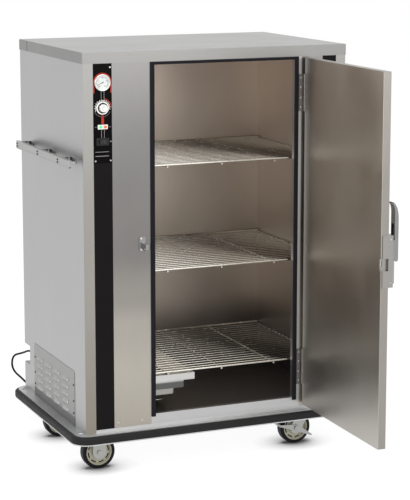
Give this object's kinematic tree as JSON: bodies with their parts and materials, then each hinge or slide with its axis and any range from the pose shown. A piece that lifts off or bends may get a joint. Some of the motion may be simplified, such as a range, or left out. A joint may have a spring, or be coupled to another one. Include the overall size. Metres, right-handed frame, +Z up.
{
  "type": "heated banquet cabinet",
  "caption": "Insulated stainless cabinet on casters with wire shelves, a swing door with pull latch, side push bar, wrap-round bumper and front controls for keeping plates warm",
  "frame": {"origin": "on the floor, under the middle of the insulated body (door, handle and cord left out)", "axes": "+Z up, +X to the right seen from the front, -Y out of the front; the door stands open at rest"},
  "size_m": [1.1722, 1.6354, 1.565],
  "materials": {
    "brushed_stainless": "brushed stainless sheet",
    "liner_stainless": "satin stainless sheet",
    "bright_wire": "bright nickel-chrome wire",
    "deck_aluminium": "mill-finish aluminium",
    "polished_aluminium": "polished aluminium",
    "zinc_steel": "bright zinc plated",
    "chrome_hardware": "polished chrome",
    "bumper_rubber": "matt black bumper",
    "gasket_rubber": "matt blue-black seal",
    "tyre_rubber": "dark polyurethane tyre and cream hub",
    "black_plate": "gloss black lexan",
    "white_plastic": "gloss white",
    "black_plastic": "matt black",
    "clear_lens": "clear lens",
    "insulation": "fibreglass blanket",
    "cord_jacket": "satin black cord"
  },
  "bodies": {
    "cabinet": {"top_cap": "brushed_stainless", "left_side_panel": "brushed_stainless", "right_side_panel": "brushed_stainless", "rear_panel": "brushed_stainless", "door_frame": "brushed_stainless", "left_front_panel": "brushed_stainless", "right_front_panel": "brushed_stainless", "front_strips": "black_plastic", "control_plate": "black_plate", "door_gasket": "gasket_rubber", "liner_left": "liner_stainless", "liner_right": "liner_stainless", "liner_back": "liner_stainless", "liner_ceiling": "liner_stainless", "liner_floor": "liner_stainless", "insulation_jacket": "insulation", "wire_shelf_lower": "bright_wire", "wire_shelf_middle": "bright_wire", "wire_shelf_upper": "bright_wire", "shelf_clips": "liner_stainless", "pan_carrier": "liner_stainless", "heater_element": "zinc_steel", "thermometer_case": "white_plastic", "thermometer_lens": "clear_lens", "thermostat_body": "black_plastic", "indicator_light": "white_plastic", "switch_bezel": "black_plastic", "body_screws": "chrome_hardware", "push_handle_bar": "polished_aluminium", "handle_brackets": "polished_aluminium", "vent_plate": "brushed_stainless", "cord_recess": "brushed_stainless", "strain_relief": "cord_jacket", "power_cord": "cord_jacket", "cord_coil": "cord_jacket", "plug": "cord_jacket", "base_frame": "deck_aluminium", "bumper_strip": "bumper_rubber", "door_strike": "chrome_hardware", "frame_hinge_leaves": "brushed_stainless", "rigid_forks": "zinc_steel", "swivel_plates": "zinc_steel"},
    "door": {"door_skin": "brushed_stainless", "door_inner_panel": "brushed_stainless", "door_core": "insulation", "door_hinge_leaves": "brushed_stainless", "latch_base": "chrome_hardware"},
    "latch_lever": {"latch_lever": "chrome_hardware"},
    "latch_bolt": {"latch_bolt": "chrome_hardware"},
    "thermostat_knob": {"thermostat_knob": "white_plastic"},
    "thermometer_needle": {"thermometer_needle": "black_plastic"},
    "rocker_switch": {"rocker_switch": "black_plastic"},
    "water_pan": {"water_pan": "liner_stainless"},
    "front_left_wheel": {"front_left_wheel": "tyre_rubber"},
    "rear_left_wheel": {"rear_left_wheel": "tyre_rubber"},
    "front_right_wheel": {"front_right_wheel": "tyre_rubber"},
    "rear_right_wheel": {"rear_right_wheel": "tyre_rubber"},
    "front_right_fork": {"front_right_swivel_fork": "zinc_steel"},
    "rear_right_fork": {"rear_right_swivel_fork": "zinc_steel"},
    "brake_pedal": {"brake_pedal": "zinc_steel"}
  },
  "joints": [
    {"name": "door_swing", "type": "hinge", "parent": "cabinet", "child": "door", "pos_m": [0.354, -0.375, 0.85], "axis": [0, 0, 1], "range_deg": [-88.5, 21.5]},
    {"name": "latch_lever_tip", "type": "hinge", "parent": "door", "child": "latch_lever", "pos_m": [0.4008, -0.99444, 0.858], "axis": [0.0262, 0.9997, 0], "range_deg": [0, 25], "stiffness_Nm_per_rad": 2, "springref_deg": -17.19},
    {"name": "latch_bolt_slide", "type": "slide", "parent": "door", "child": "latch_bolt", "axis": [-0.0262, -0.9997, 0], "range_m": [0, 0.008]},
    {"name": "thermostat_turn", "type": "hinge", "parent": "cabinet", "child": "thermostat_knob", "pos_m": [-0.453, -0.375, 1.3636], "axis": [0, -1, 0], "range_deg": [-45, 225]},
    {"name": "thermometer_turn", "type": "hinge", "parent": "cabinet", "child": "thermometer_needle", "pos_m": [-0.453, -0.3675, 1.455], "axis": [0, -1, 0], "range_deg": [-225, 20], "stiffness_Nm_per_rad": 0.002},
    {"name": "rocker_tip", "type": "hinge", "parent": "cabinet", "child": "rocker_switch", "pos_m": [-0.453, -0.3615, 1.241], "axis": [0, 0, 1], "range_deg": [-20, 0]},
    {"name": "pan_slide", "type": "slide", "parent": "cabinet", "child": "water_pan", "axis": [1, 0, 0], "range_m": [0, 0.28]},
    {"name": "front_left_roll", "type": "hinge", "parent": "cabinet", "child": "front_left_wheel", "pos_m": [-0.458, -0.29, 0.0635], "axis": [0, 1, 0], "continuous": true},
    {"name": "rear_left_roll", "type": "hinge", "parent": "cabinet", "child": "rear_left_wheel", "pos_m": [-0.458, 0.16, 0.0635], "axis": [0, 1, 0], "continuous": true},
    {"name": "front_right_swivel", "type": "hinge", "parent": "cabinet", "child": "front_right_fork", "pos_m": [0.403, -0.29, 0.13], "axis": [0, 0, 1], "continuous": true},
    {"name": "rear_right_swivel", "type": "hinge", "parent": "cabinet", "child": "rear_right_fork", "pos_m": [0.403, 0.16, 0.13], "axis": [0, 0, 1], "continuous": true},
    {"name": "front_right_roll", "type": "hinge", "parent": "front_right_fork", "child": "front_right_wheel", "pos_m": [0.36, -0.29, 0.0635], "axis": [0, 1, 0], "continuous": true},
    {"name": "rear_right_roll", "type": "hinge", "parent": "rear_right_fork", "child": "rear_right_wheel", "pos_m": [0.36, 0.16, 0.0635], "axis": [0, 1, 0], "continuous": true},
    {"name": "brake_press", "type": "hinge", "parent": "front_right_fork", "child": "brake_pedal", "pos_m": [0.36, -0.29, 0.0635], "axis": [0, -1, 0], "range_deg": [0, 15]}
  ]
}
